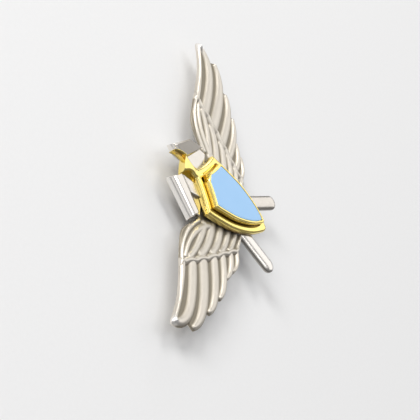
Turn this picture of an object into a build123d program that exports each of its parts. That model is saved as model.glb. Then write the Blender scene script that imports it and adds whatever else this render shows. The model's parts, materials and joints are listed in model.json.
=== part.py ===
from build123d import *
import math
import os

# Pilot wings pin: a pair of silver wings, two crossed bars with block heads, a gold shield
# with a plume crest and a pale blue enamel field, all screwed to a carrier plate whose arms
# hold a brooch pin with a rolling safety catch.
#
# Axes: +X along the right wing, +Y towards the crest, +Z out of the front.  The pin lies on
# its back: Z = 0 is the flat underside of the hinge bracket and of the catch.

os.makedirs("parts", exist_ok=True)

# ------------------------------------------------------------------ driving dimensions, mm
# Stack, from the back to the front
fitting_height = 2.8      # hinge bracket and catch, below the carrier
carrier_thickness = 0.8
wing_plate = 0.65         # wing ground under the feathers
feather_height = 0.4      # relief of a feather above the ground
frame_gap = 0.1           # air between the feathers and the shield frame
frame_height = 1.55
frame_floor = 0.8
inner_height = 2.0        # inner shield, from the frame floor to its rim
crest_height = 2.0        # crest, from the frame's underside
enamel_depth = 0.6

# Wings, drawn for the right side; the left one is its mirror image
half_span = 37.6
wing_tip_y = 6.9
wing_low_y = -12.6        # heel of the trailing edge beside the shield
heel_x = 9.6
leading_root = (15.0, 6.9)
leading_middle = (25.5, 6.0)
trailing_outer = (31.0, -2.0)
trailing_inner = (21.3, -7.6)
root_shoulder_x = 8.9
neck_y = 2.0              # line on which the wings and bars end and the necks begin
feather_gap = 1.0         # width of the groove between two feathers
feather_count = 6         # swept feathers in each row, below the leading-edge strip
feather_ratio = 0.85      # each feather's width over that of the feather above
rim_margin = 0.3          # ground left outside a feather at the wing's edge

# Shield frame
shoulder_x = 7.75
shoulder_y = 1.1
shoulder_sag = 0.55       # hollow of the concave shoulder below its chord
apex_y = 7.0
frame_tip_y = -19.2
side_ratio = ((0.948, 0.202), (0.82, 0.468), (0.503, 0.759))
corner_lean = 1.12        # corner moves in by this times the distance drawn in
frame_rim = 1.5           # width of the raised rim
rim_bevel = 0.3
inner_gap = 0.3           # groove between the frame rim and the inner shield
inner_rim = 0.6
inner_bevel = 0.15
enamel_sink = 0.05        # enamel below the rim
inner_flat_y = 3.25       # flat top of the inner shield

# Crest
crest_half = 2.35
crest_foot_half = 1.6     # crest where it stands on the frame's shoulders
crest_waist_half = 0.85
crest_waist_y = 7.3
crest_shelf_y = 10.2
crest_tip_y = 14.7
tongue_half = 1.75        # crest tongue between the bars
tongue_low_y = 0.5
tongue_top_y = 9.0
plume_lift = 0.7          # underside of the plume above the frame's underside

# Crossed bars and their heads
bar_width = 3.0
bar_angle = 29.5          # from +Y
bar_cross_y = -6.1
bar_end_y = -23.1
bar_slot_gap = 0.05       # joint between a bar and a neck
bar_edge = 0.4            # chamfer along a bar
head_rise = 0.8           # top of a head above the feathers
head_drop = 0.4           # bottom of a head below the carrier's front
head_edge = 0.35          # chamfer round a head
neck_inner_x = 2.6        # side of a head's neck, beside the crest

# Fasteners
stud_radius = 0.8
upper_stud_y = 2.0
lower_stud_y = -12.4
nut_flats = 3.2
nut_height = 1.3
washer_radius = 2.0
washer_thickness = 0.3
screw_radius = 0.5
screw_head_radius = 0.95
screw_head_height = 0.3
screw_depth = 0.5         # screw in the back of a wing or a neck
screw_pitch = 2.7         # between the two screws of a wing
screw_clearance = 0.1     # screw head to the foot of the hinge or of the catch
head_screw_x = 3.6
head_screw_y = 3.1
boss_radius = 1.5
carrier_inset = 0.35      # carrier inside the frame's outline
fit_gap = 0.05            # radial clearance round a screw, stud or rivet

# Brooch fitting on the back
arm_half_length = 16.8
arm_width = 4.6
arm_y = -2.0              # pin line, measured in the emblem's own frame
arm_end_margin = 2.4      # hinge and catch in from the ends of the arms
foot_thickness = 0.5      # plates of the hinge bracket and of the catch
foot_half_width = 2.05
stem_radius = 0.45
stem_axis_z = 1.3
stem_taper = 5.0          # length of the needle point
stem_overhang = 1.9       # point of the needle beyond the middle of the catch
hinge_rivet_radius = 0.4
rivet_head_radius = 0.75
rivet_head_height = 0.35
knuckle_radius = 0.9
knuckle_side_gap = 0.1
ear_thickness = 0.7
ear_gap = 2.0
ear_half_length = 1.5
ring_half_width = 1.45    # outside of the catch rings, from the pin line
ring_thickness = 0.8
ring_gap = 1.0            # space between the rings, where the thumb tab swings
rotor_radius = 1.0
rotor_bore = 0.6
tab_reach = 2.0           # end of the thumb tab, from the pin line
tab_width = 0.8
slot_width = 1.1
running_gap = 0.05

# ------------------------------------------------------------------ levels worked out
carrier_back = fitting_height
carrier_front = carrier_back + carrier_thickness
wing_ground = carrier_front + wing_plate
wing_front = wing_ground + feather_height
frame_bottom = wing_front + frame_gap
frame_seat = frame_bottom + frame_floor
frame_top = frame_bottom + frame_height
crest_top = frame_bottom + crest_height
bar_top = wing_front
inner_top = frame_seat + inner_height
hinge_x = arm_half_length - arm_end_margin
wing_screw_x = hinge_x - foot_half_width - screw_head_radius - screw_clearance
wing_screw_xs = (wing_screw_x - screw_pitch, wing_screw_x)
catch_x = -hinge_x

# The emblem is drawn about its own datum; the origin lies halfway up the finished pin.
emblem_y = -(crest_tip_y + bar_end_y) / 2


def placed(shape):
    """Move a piece from the emblem's own frame to the pin's frame."""
    return Pos(0, emblem_y, 0) * shape


def prism(face, low, high):
    """A straight-sided piece of this plan between two levels."""
    return Pos(0, 0, low) * extrude(face, amount=high - low, dir=(0, 0, 1))


def rod(x, y, radius, low, high):
    """An upright round bar."""
    return Pos(x, y, (low + high) / 2) * Cylinder(radius, high - low)


def outline(*lines):
    """A flat face inside a closed run of lines."""
    edges = [edge for line in lines for edge in line.edges()]
    return Face(Wire(edges))


def polygon(points):
    """A flat face with straight sides."""
    return Face(Wire.make_polygon([Vector(*p) for p in points], close=True))


def mirrored(shape):
    """The same piece on the left side."""
    return mirror(shape, about=Plane.YZ)


# ------------------------------------------------------------------ wings
def ribbon(spine, half_widths):
    """Face of a strip round a Bezier spine, with a half-width for each control point."""
    left = []
    right = []
    last = len(spine) - 1
    for i, point in enumerate(spine):
        along = (spine[min(i + 1, last)] - spine[max(i - 1, 0)]).normalized()
        side = Vector(-along.Y, along.X) * half_widths[i]
        left.append(point + side)
        right.append(point - side)
    nose = spine[last] + along * half_widths[last]
    return outline(
        Bezier(*left),
        ThreePointArc(left[last], nose, right[last]),
        Bezier(*reversed(right)),
        Line(right[0], left[0]),
    )


def shares():
    """Where one feather ends and the next begins, as fractions from the top to the heel."""
    widths = [feather_ratio ** i for i in range(feather_count)]
    total = sum(widths)
    return [sum(widths[:i]) / total for i in range(feather_count + 1)]


def trailing_edge():
    """Line through the notches between feather tips, from the wing tip to the heel."""
    return Spline((half_span, wing_tip_y), trailing_outer, trailing_inner, (heel_x, wing_low_y))


def band_line():
    """Line between the short inner feathers and the long outer ones."""
    return Bezier((22.4, 4.6), (16.6, -2.0), (heel_x - 1.0, wing_low_y + 0.3))


def root_line():
    """Line on which the inner feathers start, beside the shield."""
    return Spline((14.6, 3.4), (9.9, -2.2), (6.6, wing_low_y + 0.4))


def wing_ground_face():
    """Plan of the wing: leading edge, scalloped feather tips, and the tongue under the shield."""
    edge = trailing_edge()
    marks = [edge @ s for s in shares()]
    scallops = []
    for upper, lower in zip(marks[:-1], marks[1:]):
        chord = lower - upper
        outward = Vector(chord.Y, -chord.X).normalized()
        bulge = (upper + lower) * 0.5 - outward * 0.16 * chord.length
        if bulge.Y > (upper.Y + lower.Y) / 2:
            bulge = (upper + lower) * 0.5 + outward * 0.16 * chord.length
        scallops.append(ThreePointArc(upper, bulge, lower))
    slope = math.tan(math.radians(bar_angle))
    side = bar_width / 2 / math.cos(math.radians(bar_angle)) + 3 * fit_gap
    tongue = (side, bar_cross_y)
    heel = ((bar_cross_y - wing_low_y) * slope + side, wing_low_y)
    neck = ((neck_y - bar_cross_y) * slope + side, neck_y)
    root_shoulder = (root_shoulder_x, neck_y)
    return outline(
        Spline(leading_root, leading_middle, (half_span, wing_tip_y)),
        *scallops,
        Polyline((heel_x, wing_low_y), heel, tongue, neck, root_shoulder),
        Spline(root_shoulder, (11.3, 4.6), leading_root),
    )


def outer_feathers():
    """Long feathers of the outer row, each swept up along the trailing edge at its tip."""
    edge = trailing_edge()
    band = band_line()
    cuts = shares()
    faces = []
    for i in range(feather_count):
        tip_width = 0.62 - 0.03 * i
        middle = (cuts[i] + cuts[i + 1]) / 2
        root = band @ middle
        cell = (band @ cuts[i + 1] - band @ cuts[i]).length
        root_width = (cell * 0.8 - feather_gap) / 2
        start = edge @ (cuts[i] + 0.012)
        along = (edge % (cuts[i] + 0.012)) * -1
        inward = Vector(along.Y * -1, along.X)
        tip = start + inward * (tip_width + rim_margin) - along * tip_width
        length = (tip - root).length
        sweep = tip - along * length * 0.38
        faces.append(ribbon([root, sweep, tip], [root_width, root_width, tip_width]))
    return faces


def inner_feathers():
    """Short feathers of the inner row, from the shield to the band."""
    band = band_line()
    root = root_line()
    cuts = shares()
    faces = []
    for i in range(feather_count):
        middle = (cuts[i] + cuts[i + 1]) / 2
        start = root @ middle
        end = band @ (middle - 0.02)
        along = (end - start).normalized()
        cell = (band @ cuts[i + 1] - band @ cuts[i]).length
        half = (cell * 0.8 - feather_gap) / 2
        tip = end - along * (half + 0.75)
        bend = start + (tip - start) * 0.55 - Vector(-along.Y, along.X) * -0.5
        faces.append(ribbon([start, bend, tip], [half * 0.85, half, half * 0.9]))
    return faces


def wing_piece():
    """Right wing: a flat ground with every feather standing on it as a raised strip."""
    body = prism(wing_ground_face(), carrier_front, wing_ground)
    top_strip = ribbon(
        [Vector(23.1, 5.3), Vector(29.0, 4.85), Vector(half_span - 2.4, wing_tip_y - 1.15)],
        [0.6, 0.65, 0.5],
    )
    shoulder_strip = ribbon(
        [Vector(10.5, 2.7), Vector(15.0, 7.0), Vector(21.6, 5.7)],
        [0.35, 0.5, 0.5],
    )
    root_arc = ribbon(
        [Vector(8.9, -1.6), Vector(12.2, 4.0), Vector(19.4, 4.4)],
        [0.7, 0.85, 0.5],
    )
    faces = [top_strip, shoulder_strip, root_arc] + outer_feathers() + inner_feathers()
    relief = [prism(face, carrier_front + wing_plate / 2, wing_front) for face in faces]
    return body.fuse(*relief)




def wing_screw_places():
    """Screws that hold both wings, two through each arm of the carrier."""
    return [(side * x, arm_y) for side in (-1, 1) for x in wing_screw_xs]


def with_blind_holes(body, places, depth):
    """The piece with screw holes sunk into its back."""
    for x, y in places:
        body -= rod(x, y, screw_radius, carrier_front, carrier_front + depth)
    return body


# ------------------------------------------------------------------ shield
# Each shoulder is a hollow arc from the apex to the corner, struck from a centre above it.
shoulder_chord = math.hypot(shoulder_x, apex_y - shoulder_y)
arc_radius = (shoulder_chord ** 2 / 4 + shoulder_sag ** 2) / (2 * shoulder_sag)
arc_reach = (arc_radius - shoulder_sag) / shoulder_chord
arc_x = shoulder_x / 2 + (apex_y - shoulder_y) * arc_reach
arc_y = (apex_y + shoulder_y) / 2 + shoulder_x * arc_reach


def shoulder_line(x, distance=0.0):
    """Height of the shoulder, drawn in by this distance, this far from the centre line."""
    return arc_y - math.sqrt((arc_radius + distance) ** 2 - (arc_x - abs(x)) ** 2)


def shoulder_arc(start, end, distance=0.0):
    """Part of one shoulder between two places on it."""
    x = (start[0] + end[0]) / 2
    return ThreePointArc(start, (x, shoulder_line(x, distance)), end)


def shield_side(distance):
    """Right side of the shield, drawn in by this distance: corner first, foot last."""
    drop = frame_tip_y - shoulder_y
    middle = [(shoulder_x * across, shoulder_y + drop * down) for across, down in side_ratio]
    side = Spline((shoulder_x, shoulder_y), *middle, (0, frame_tip_y))
    corner_x = shoulder_x - distance * corner_lean
    points = [(corner_x, shoulder_line(corner_x, distance))]
    for share in (0.3, 0.5, 0.7, 0.85):
        along = side % share
        point = side @ share + Vector(along.Y, -along.X) * distance
        points.append((point.X, point.Y))
    foot = side % 1
    points.append((0, frame_tip_y + distance / abs(foot.X)))
    return points


def shield_face(distance=0.0, flat_y=None):
    """Plan of the shield drawn in by this distance, with its peak cut off flat if asked."""
    right = shield_side(distance)
    left = [(-x, y) for x, y in right]
    top = [(0, shoulder_line(0, distance))]
    if flat_y is not None:
        flat_x = arc_x - math.sqrt((arc_radius + distance) ** 2 - (arc_y - flat_y) ** 2)
        top = [(flat_x, flat_y), (-flat_x, flat_y)]
    across = [Line(*top)] if len(top) == 2 else []
    return outline(
        Spline(*left),
        Spline(*reversed(right)),
        shoulder_arc(right[0], top[0], distance),
        *across,
        shoulder_arc(top[-1], left[0], distance),
    )


def inner_face(extra=0.0):
    """Plan of the inner shield, whose top is cut off flat."""
    return shield_face(frame_rim + inner_gap + extra, inner_flat_y - extra)


def top_rim_edges(body, level):
    """Edges that lie in this level."""
    return body.edges().filter_by(
        lambda edge: all(abs((edge @ t).Z - level) < 1e-4 for t in (0, 0.5, 1)))


def shield_frame_piece():
    """Gold frame: a floor with a raised, bevelled rim."""
    face = shield_face()
    body = chamfer(top_rim_edges(prism(face, frame_bottom, frame_top), frame_top), rim_bevel)
    body -= prism(shield_face(frame_rim), frame_seat, frame_top + 1)
    for y in (upper_stud_y, lower_stud_y):
        body -= rod(0, y, stud_radius + fit_gap, frame_bottom - 1, frame_seat + 1)
    return body


def inner_shield_piece():
    """Gold inner shield: a tray whose rim holds the enamel."""
    body = prism(inner_face(), frame_seat, inner_top)
    body = chamfer(top_rim_edges(body, inner_top), inner_bevel)
    return body - prism(inner_face(inner_rim), inner_top - enamel_depth, inner_top + 1)


def enamel_piece():
    """Enamel field, a shade below the rim that was ground flat around it."""
    return prism(inner_face(inner_rim), inner_top - enamel_depth, inner_top - enamel_sink)


def crest_piece():
    """Gold crest: a waisted base on the frame's shoulders, a curled plume, and a tongue below."""
    foot = (crest_foot_half, shoulder_line(crest_foot_half))
    other_foot = (-foot[0], foot[1])
    base = outline(
        shoulder_arc((0, apex_y), foot),
        Polyline(foot, (crest_waist_half, crest_waist_y), (crest_half, crest_shelf_y),
                 (-crest_half, crest_shelf_y), (-crest_waist_half, crest_waist_y), other_foot),
        shoulder_arc(other_foot, (0, apex_y)),
    )
    root_y = crest_shelf_y - 0.2
    outside = (crest_half - 0.15, root_y)
    inside = (crest_half - 1.35, root_y)
    tip = (0, crest_tip_y)
    plume = outline(
        Bezier(outside, (crest_half + 0.15, crest_tip_y - 1.3), tip),
        Bezier(tip, (0.75, crest_shelf_y + 2.1), inside),
        Line(inside, outside),
    )
    tongue = polygon([
        (-tongue_half, tongue_low_y),
        (-tongue_half, tongue_top_y),
        (tongue_half, tongue_top_y),
        (tongue_half, tongue_low_y),
    ])
    block = chamfer(top_rim_edges(prism(base, frame_bottom, crest_top), crest_top), 0.2)
    body = block + prism(plume, frame_bottom + plume_lift, crest_top) + prism(tongue, carrier_front, frame_bottom)
    return body - rod(0, upper_stud_y, stud_radius + fit_gap, 0, crest_top)


# ------------------------------------------------------------------ crossed bars and heads
def bar_blank(side):
    """One bar on its own, before it is halved; side is +1 when its foot lies to the right."""
    radius = bar_width / 2
    down = (bar_cross_y - bar_end_y - radius) / math.cos(math.radians(bar_angle))
    up = (neck_y - bar_cross_y) / math.cos(math.radians(bar_angle)) + bar_width
    straight = Pos(0, (up - down) / 2) * Rectangle(bar_width, up + down)
    plan = straight + Pos(0, -down) * Circle(radius)
    plan = Pos(0, bar_cross_y) * Rot(0, 0, side * bar_angle) * plan
    below = Pos(0, neck_y - bar_slot_gap - half_span) * Rectangle(2 * half_span, 2 * half_span)
    plan = (plan & below).faces()[0]
    body = prism(plan, carrier_front, bar_top)
    return chamfer(top_rim_edges(body, bar_top), bar_edge)


def crossing(grown=0.0):
    """Lozenge in which the two bars cross."""
    strip = Rectangle(bar_width + 2 * grown, 4 * bar_width)
    first = Rot(0, 0, bar_angle) * strip
    second = Rot(0, 0, -bar_angle) * strip
    return Pos(0, bar_cross_y) * (first & second)


def bar_pieces():
    """Both bars, halved into each other where they cross and bored for the rivet."""
    middle = (carrier_front + bar_top) / 2
    lap = crossing(fit_gap)
    lower = bar_blank(1) - prism(lap, middle, bar_top + 1)
    upper = bar_blank(-1) - prism(lap, carrier_front - 1, middle)
    bore = rod(0, bar_cross_y, screw_radius, carrier_front - 1, bar_top + 1)
    return lower - bore, upper - bore


def head_piece(corners, neck_corners):
    """A head on the right side: a bevelled block with a thin neck that runs under the frame."""
    block = prism(polygon(corners), carrier_front - head_drop, wing_front + head_rise)
    block = chamfer(block.edges(), head_edge)
    neck = prism(polygon(neck_corners), carrier_front, wing_front)
    body = block + neck
    return with_blind_holes(body, [(head_screw_x, head_screw_y)], screw_depth)


# ------------------------------------------------------------------ carrier and fasteners
def carrier_piece():
    """Carrier plate behind the emblem, with an arm behind each wing and a boss for the foot stud."""
    plate = prism(shield_face(carrier_inset), carrier_back, carrier_front)
    arms = Pos(0, arm_y) * SlotOverall(2 * arm_half_length, arm_width)
    body = plate + prism(arms, carrier_back, carrier_front)
    body += rod(0, lower_stud_y, boss_radius, carrier_front, frame_bottom)
    for y in (upper_stud_y, lower_stud_y):
        body -= rod(0, y, stud_radius + fit_gap, 0, frame_top)
    for x, y in wing_screw_places() + head_screw_places() + [(0, bar_cross_y)]:
        body -= rod(x, y, screw_radius + (fit_gap if x else 0), 0, frame_top)
    return body


def head_screw_places():
    """Screws that hold the necks of the two heads."""
    return [(-head_screw_x, head_screw_y), (head_screw_x, head_screw_y)]


def screw(x, y, depth):
    """Slotted cheese-head screw driven from the back, up to this depth in the piece above."""
    low = carrier_back - screw_head_height
    head = rod(x, y, screw_head_radius, low, carrier_back)
    slot = Pos(x, y, low) * Box(2 * screw_head_radius, 0.3, screw_head_height)
    return head - slot + rod(x, y, screw_radius, carrier_back, carrier_front + depth)


def ring(x, y, outer, inner, low, high):
    """A washer or tube standing upright."""
    return rod(x, y, outer, low, high) - rod(x, y, inner, low - 1, high + 1)


def stud_stack():
    """Studs under the inner shield, with a washer and a hexagon nut on each."""
    places = (upper_stud_y, lower_stud_y)
    washer_low = carrier_back - washer_thickness
    nut_low = washer_low - nut_height
    studs = [rod(0, y, stud_radius, nut_low - 0.3, frame_seat) for y in places]
    washers = [ring(0, y, washer_radius, stud_radius + fit_gap, washer_low, carrier_back) for y in places]
    nuts = []
    for y in places:
        hexagon = Pos(0, y) * RegularPolygon(nut_flats / 2, 6, major_radius=False)
        nut = prism(hexagon, nut_low, washer_low)
        nuts.append(nut - rod(0, y, stud_radius, nut_low - 1, washer_low + 1))
    return studs, washers, nuts


def cross_rivet_piece():
    """Rivet through the halved bars, with a round head behind the carrier."""
    head = rod(0, bar_cross_y, screw_head_radius, carrier_back - screw_head_height, carrier_back)
    return head + rod(0, bar_cross_y, screw_radius, carrier_back, bar_top)


# ------------------------------------------------------------------ brooch fitting
def along_y(x, z, radius, half_length):
    """A round bar across the pin line."""
    return Pos(x, arm_y, z) * Rot(90, 0, 0) * Cylinder(radius, 2 * half_length)


def along_x(x_low, x_high, radius):
    """A round bar on the pin line."""
    return Pos((x_low + x_high) / 2, arm_y, stem_axis_z) * Rot(0, 90, 0) * Cylinder(radius, x_high - x_low)


def block(x_low, x_high, y_low, y_high, z_low, z_high):
    """A square block between these limits, with y measured from the pin line."""
    size = (x_high - x_low, y_high - y_low, z_high - z_low)
    middle = ((x_low + x_high) / 2, arm_y + (y_low + y_high) / 2, (z_low + z_high) / 2)
    return Pos(*middle) * Box(*size)


def hinge_bracket_piece():
    """Folded bracket: a foot on the carrier's arm and two ears bored for the hinge rivet."""
    foot_low = carrier_back - foot_thickness
    body = block(hinge_x - 1.8, hinge_x + 1.8, -foot_half_width, foot_half_width, foot_low, carrier_back)
    for side in (-1, 1):
        inner = side * ear_gap / 2
        outer = side * (ear_gap / 2 + ear_thickness)
        ear = block(hinge_x - ear_half_length, hinge_x + ear_half_length,
                    min(inner, outer), max(inner, outer), 0, foot_low)
        low_edges = [e for e in ear.edges().filter_by(Axis.Y) if e.center().Z < 0.01]
        body += chamfer(low_edges, 0.5)
    return body - along_y(hinge_x, stem_axis_z, hinge_rivet_radius, foot_half_width + 1)


def hinge_rivet_piece():
    """Rivet through both ears, with a head on each side."""
    half = ear_gap / 2 + ear_thickness
    body = along_y(hinge_x, stem_axis_z, hinge_rivet_radius, half)
    for side in (-1, 1):
        body += Pos(0, side * (half + rivet_head_height / 2), 0) * along_y(
            hinge_x, stem_axis_z, rivet_head_radius, rivet_head_height / 2)
    return body


def pin_stem_piece():
    """Pin stem: a bored knuckle between the ears and a straight wire ground to a needle point."""
    tip_x = catch_x - stem_overhang
    half = ear_gap / 2 - knuckle_side_gap
    body = along_y(hinge_x, stem_axis_z, knuckle_radius, half)
    body += along_x(tip_x + stem_taper, hinge_x, stem_radius)
    point = Cone(0.06, stem_radius, stem_taper)
    body += Pos(tip_x + stem_taper / 2, arm_y, stem_axis_z) * Rot(0, 90, 0) * point
    return body - along_y(hinge_x, stem_axis_z, hinge_rivet_radius + running_gap, half + 1)


def catch_body_piece():
    """Catch: a foot with two slotted rings that hold the rolling lock between them."""
    foot_low = carrier_back - foot_thickness
    reach = ring_gap / 2 + ring_thickness
    body = block(catch_x - reach - 0.4, catch_x + reach + 0.4, -foot_half_width, foot_half_width,
                 foot_low, carrier_back)
    for low in (-reach, ring_gap / 2):
        cheek = block(catch_x + low, catch_x + low + ring_thickness,
                      -ring_half_width, ring_half_width, 0, foot_low)
        low_edges = [e for e in cheek.edges().filter_by(Axis.X) if e.center().Z < 0.01]
        body += chamfer(low_edges, 0.4)
    body -= along_x(catch_x - reach - 1, catch_x + reach + 1, rotor_radius + running_gap)
    return body - block(catch_x - reach - 1, catch_x + reach + 1, -slot_width / 2, slot_width / 2,
                        -1, stem_axis_z)


def catch_rotor_piece():
    """Rolling lock: a slotted tube with a thumb tab that swings between the rings."""
    reach = ring_gap / 2 + ring_thickness
    body = along_x(catch_x - reach, catch_x + reach, rotor_radius)
    body += block(catch_x - tab_width / 2, catch_x + tab_width / 2, rotor_radius - 0.2, tab_reach,
                  stem_axis_z - tab_width / 2, stem_axis_z + tab_width / 2)
    body -= along_x(catch_x - reach - 1, catch_x + reach + 1, rotor_bore)
    return body - block(catch_x - reach - 1, catch_x + reach + 1, -slot_width / 2, slot_width / 2,
                        stem_axis_z - rotor_radius - 1, stem_axis_z)


# ------------------------------------------------------------------ assembly
long_block = [(4.15, 12.0), (10.3, 4.7), (8.95, 3.8), (2.9, 10.2)]
short_block = [(3.75, 13.05), (8.3, 8.0), (8.75, 3.6), (2.65, 8.7), (2.65, 11.3)]
neck_low = neck_y + bar_slot_gap
long_neck = [(neck_inner_x, neck_low), (8.3, neck_low), (8.9, 4.3), (3.5, 10.1), (neck_inner_x, 9.0)]
short_neck = [(neck_inner_x, neck_low), (8.3, neck_low), (8.4, 4.1), (neck_inner_x + 0.3, 8.8),
              (neck_inner_x, 8.5)]

wing = wing_piece()
wing = with_blind_holes(wing, [(x, arm_y) for x in wing_screw_xs], screw_depth)
bar_right_foot, bar_left_foot = bar_pieces()
studs, washers, nuts = stud_stack()

pieces = {
    "wing_right": wing,
    "wing_left": mirrored(wing),
    "carrier_plate": carrier_piece(),
    "bar_right_foot": bar_right_foot,
    "bar_left_foot": bar_left_foot,
    "bar_head_left": mirrored(head_piece(long_block, long_neck)),
    "bar_head_right": head_piece(short_block, short_neck),
    "shield_frame": shield_frame_piece(),
    "crest": crest_piece(),
    "inner_shield": inner_shield_piece(),
    "enamel_field": enamel_piece(),
    "shield_studs": Compound(studs),
    "stud_washers": Compound(washers),
    "stud_nuts": Compound(nuts),
    "cross_rivet": cross_rivet_piece(),
    "wing_screws": Compound([screw(x, y, screw_depth) for x, y in wing_screw_places()]),
    "head_screws": Compound([screw(x, y, screw_depth) for x, y in head_screw_places()]),
    "hinge_bracket": hinge_bracket_piece(),
    "hinge_rivet": hinge_rivet_piece(),
    "pin_stem": pin_stem_piece(),
    "catch_body": catch_body_piece(),
    "catch_rotor": catch_rotor_piece(),
}

for name, piece in pieces.items():
    export_step(placed(piece), f"parts/{name}.step")
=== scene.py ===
# %% [markdown]
# # A pair of pilot's wings, as a brooch
# The badge is a stack of thin metal pieces: two feathered wings, two crossed bars with blocks
# on their upper ends, a gold shield with a blue enamel field, and a brooch fitting behind.
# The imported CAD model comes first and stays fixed. Every new piece below is laid over it, in
# metres, in the same frame, and hides the plainer CAD piece that it stands for.

# %% Load the frame
import json
import math

import bpy
import numpy as np
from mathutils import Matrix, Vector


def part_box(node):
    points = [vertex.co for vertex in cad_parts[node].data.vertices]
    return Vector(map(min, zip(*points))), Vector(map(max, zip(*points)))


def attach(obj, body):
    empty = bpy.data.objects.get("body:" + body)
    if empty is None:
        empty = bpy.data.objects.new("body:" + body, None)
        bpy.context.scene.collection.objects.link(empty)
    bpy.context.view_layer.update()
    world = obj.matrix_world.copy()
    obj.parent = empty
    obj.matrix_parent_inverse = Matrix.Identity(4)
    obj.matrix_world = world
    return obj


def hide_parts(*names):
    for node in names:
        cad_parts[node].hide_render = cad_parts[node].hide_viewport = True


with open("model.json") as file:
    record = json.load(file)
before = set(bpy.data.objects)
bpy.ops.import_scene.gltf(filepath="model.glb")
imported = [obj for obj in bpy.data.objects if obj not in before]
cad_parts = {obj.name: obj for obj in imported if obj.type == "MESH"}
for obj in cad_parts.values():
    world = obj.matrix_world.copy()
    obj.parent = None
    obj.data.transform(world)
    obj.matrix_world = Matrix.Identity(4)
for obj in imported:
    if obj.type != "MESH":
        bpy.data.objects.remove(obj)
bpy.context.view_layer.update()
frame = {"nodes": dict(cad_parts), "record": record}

# %% [markdown]
# ## Measures
# Shapes are drawn on the badge's own sheet: millimetres, x along the wings and y towards the
# crest, with the shield's middle near zero. The CAD box of a piece tells where its levels are,
# so each level is read from there and none is typed twice.

# %% Levels and places
MM = 0.001


def level(node, top=True):
    """Height of a CAD piece's top or bottom, in millimetres."""
    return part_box(node)[1 if top else 0].z / MM


SHEET_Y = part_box("crest")[1].y / MM - 14.7
CARRIER_FRONT = level("wing_right", top=False)
WING_TOP = level("wing_right")
FRAME_LOW, FRAME_TOP = level("shield_frame", top=False), level("shield_frame")
TRAY_LOW, TRAY_TOP = level("inner_shield", top=False), level("inner_shield")
HEAD_TOP = level("bar_head_right")
BAR_TOP = level("bar_left_foot")
print("levels, mm:", CARRIER_FRONT, WING_TOP, FRAME_LOW, FRAME_TOP, TRAY_TOP)

# %% [markdown]
# ## From arrays to a mesh
# A piece is a table of points and a table of faces, both worked out with numpy. Modelling
# operators could build it too, but they work on what is selected and say little about why a
# point is where it is, while a formula can be read. One helper puts the tables in a mesh,
# shades it smooth except at real edges, gives it a finish, says which body it rides on, and
# hides the CAD piece that it stands for. Marks are numbers that the mesh carries at its points,
# such as how deep in a groove a point lies, and finishes read them.

# %% Make a piece
def make_piece(name, points, faces, finish, stands_for, marks=None, crease=35, body="badge"):
    """Mesh from points in sheet millimetres and lists of corner numbers, moved into the shared frame.

    An edge sharper than crease, in degrees, stays an edge."""
    points = np.asarray(points, float).reshape(-1, 3) + (0, SHEET_Y, 0)
    mesh = bpy.data.meshes.new(name)
    mesh.from_pydata((points * MM).tolist(), [], faces)
    for key, values in (marks or {}).items():
        layer = mesh.attributes.new(key, "FLOAT", "POINT")
        layer.data.foreach_set("value", np.asarray(values, np.float32).ravel())
    mesh.validate()
    mesh.shade_smooth()
    mesh.set_sharp_from_angle(angle=math.radians(crease))
    mesh.materials.append(finish)
    piece = bpy.data.objects.new(name, mesh)
    bpy.context.scene.collection.objects.link(piece)
    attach(piece, body)
    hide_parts(*stands_for)
    print(name, len(mesh.vertices), "points", len(mesh.polygons), "faces")


# %% Faces of a grid
def grid_faces(rows, columns, wrap=False):
    """Quads of a grid of points numbered row by row; wrap joins the last column to the first."""
    r = np.arange(rows - 1)[:, None] * columns
    c = np.arange(columns if wrap else columns - 1)[None, :]
    after = (c + 1) % columns
    quads = np.stack([r + c, r + after, r + columns + after, r + columns + c], -1)
    return quads.reshape(-1, 4).tolist()


def tube_faces(rows, columns):
    """Quads round a stack of closed rows, and one cap each on the first row and the last."""
    faces = grid_faces(rows, columns, wrap=True)
    faces.append(list(range(columns))[::-1])
    faces.append(list(range((rows - 1) * columns, rows * columns)))
    return faces


def ring_faces(rows, columns):
    """Quads round a stack of closed rows whose last row joins its first, as on a picture frame."""
    quads = grid_faces(rows + 1, columns, wrap=True)
    return [[i % (rows * columns) for i in quad] for quad in quads]


def turned_over(faces):
    """The same faces looking the other way."""
    return [face[::-1] for face in faces]

# %% [markdown]
# ## Curves
# Feathers, ribs and outlines follow curves through a few points. A Catmull-Rom curve passes
# through each point it is given, and a quadratic Bezier bows towards its middle point. Curve
# objects could draw them, but here each curve is needed as an array, to measure distances to it.

# %% Curves
def through(points, count):
    """Catmull-Rom curve: on each span a cubic whose slopes are half the chord of the neighbours."""
    p = np.asarray(points, float)
    p = np.vstack([2 * p[:1] - p[1:2], p, 2 * p[-1:] - p[-2:-1]])
    spans = len(p) - 3
    u = np.linspace(0, spans, count)
    i = np.minimum(u.astype(int), spans - 1)
    t = (u - i)[:, None]
    a, b, c, d = p[i], p[i + 1], p[i + 2], p[i + 3]
    square, cube = 2 * a - 5 * b + 4 * c - d, 3 * b - a - 3 * c + d
    return 0.5 * (2 * b + (c - a) * t + square * t**2 + cube * t**3)


def bow(start, middle, end, count):
    """Quadratic Bezier: start and end are met, middle only pulls."""
    t = np.linspace(0, 1, count)[:, None]
    return (1 - t) ** 2 * np.array(start) + 2 * t * (1 - t) * np.array(middle) + t**2 * np.array(end)


def evenly(curve, count):
    """The same curve with its points spread evenly along its length."""
    run = np.r_[0, np.cumsum(np.linalg.norm(np.diff(curve, axis=0), axis=1))]
    at = np.linspace(0, run[-1], count)
    return np.stack([np.interp(at, run, curve[:, k]) for k in range(curve.shape[1])], -1)


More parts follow.
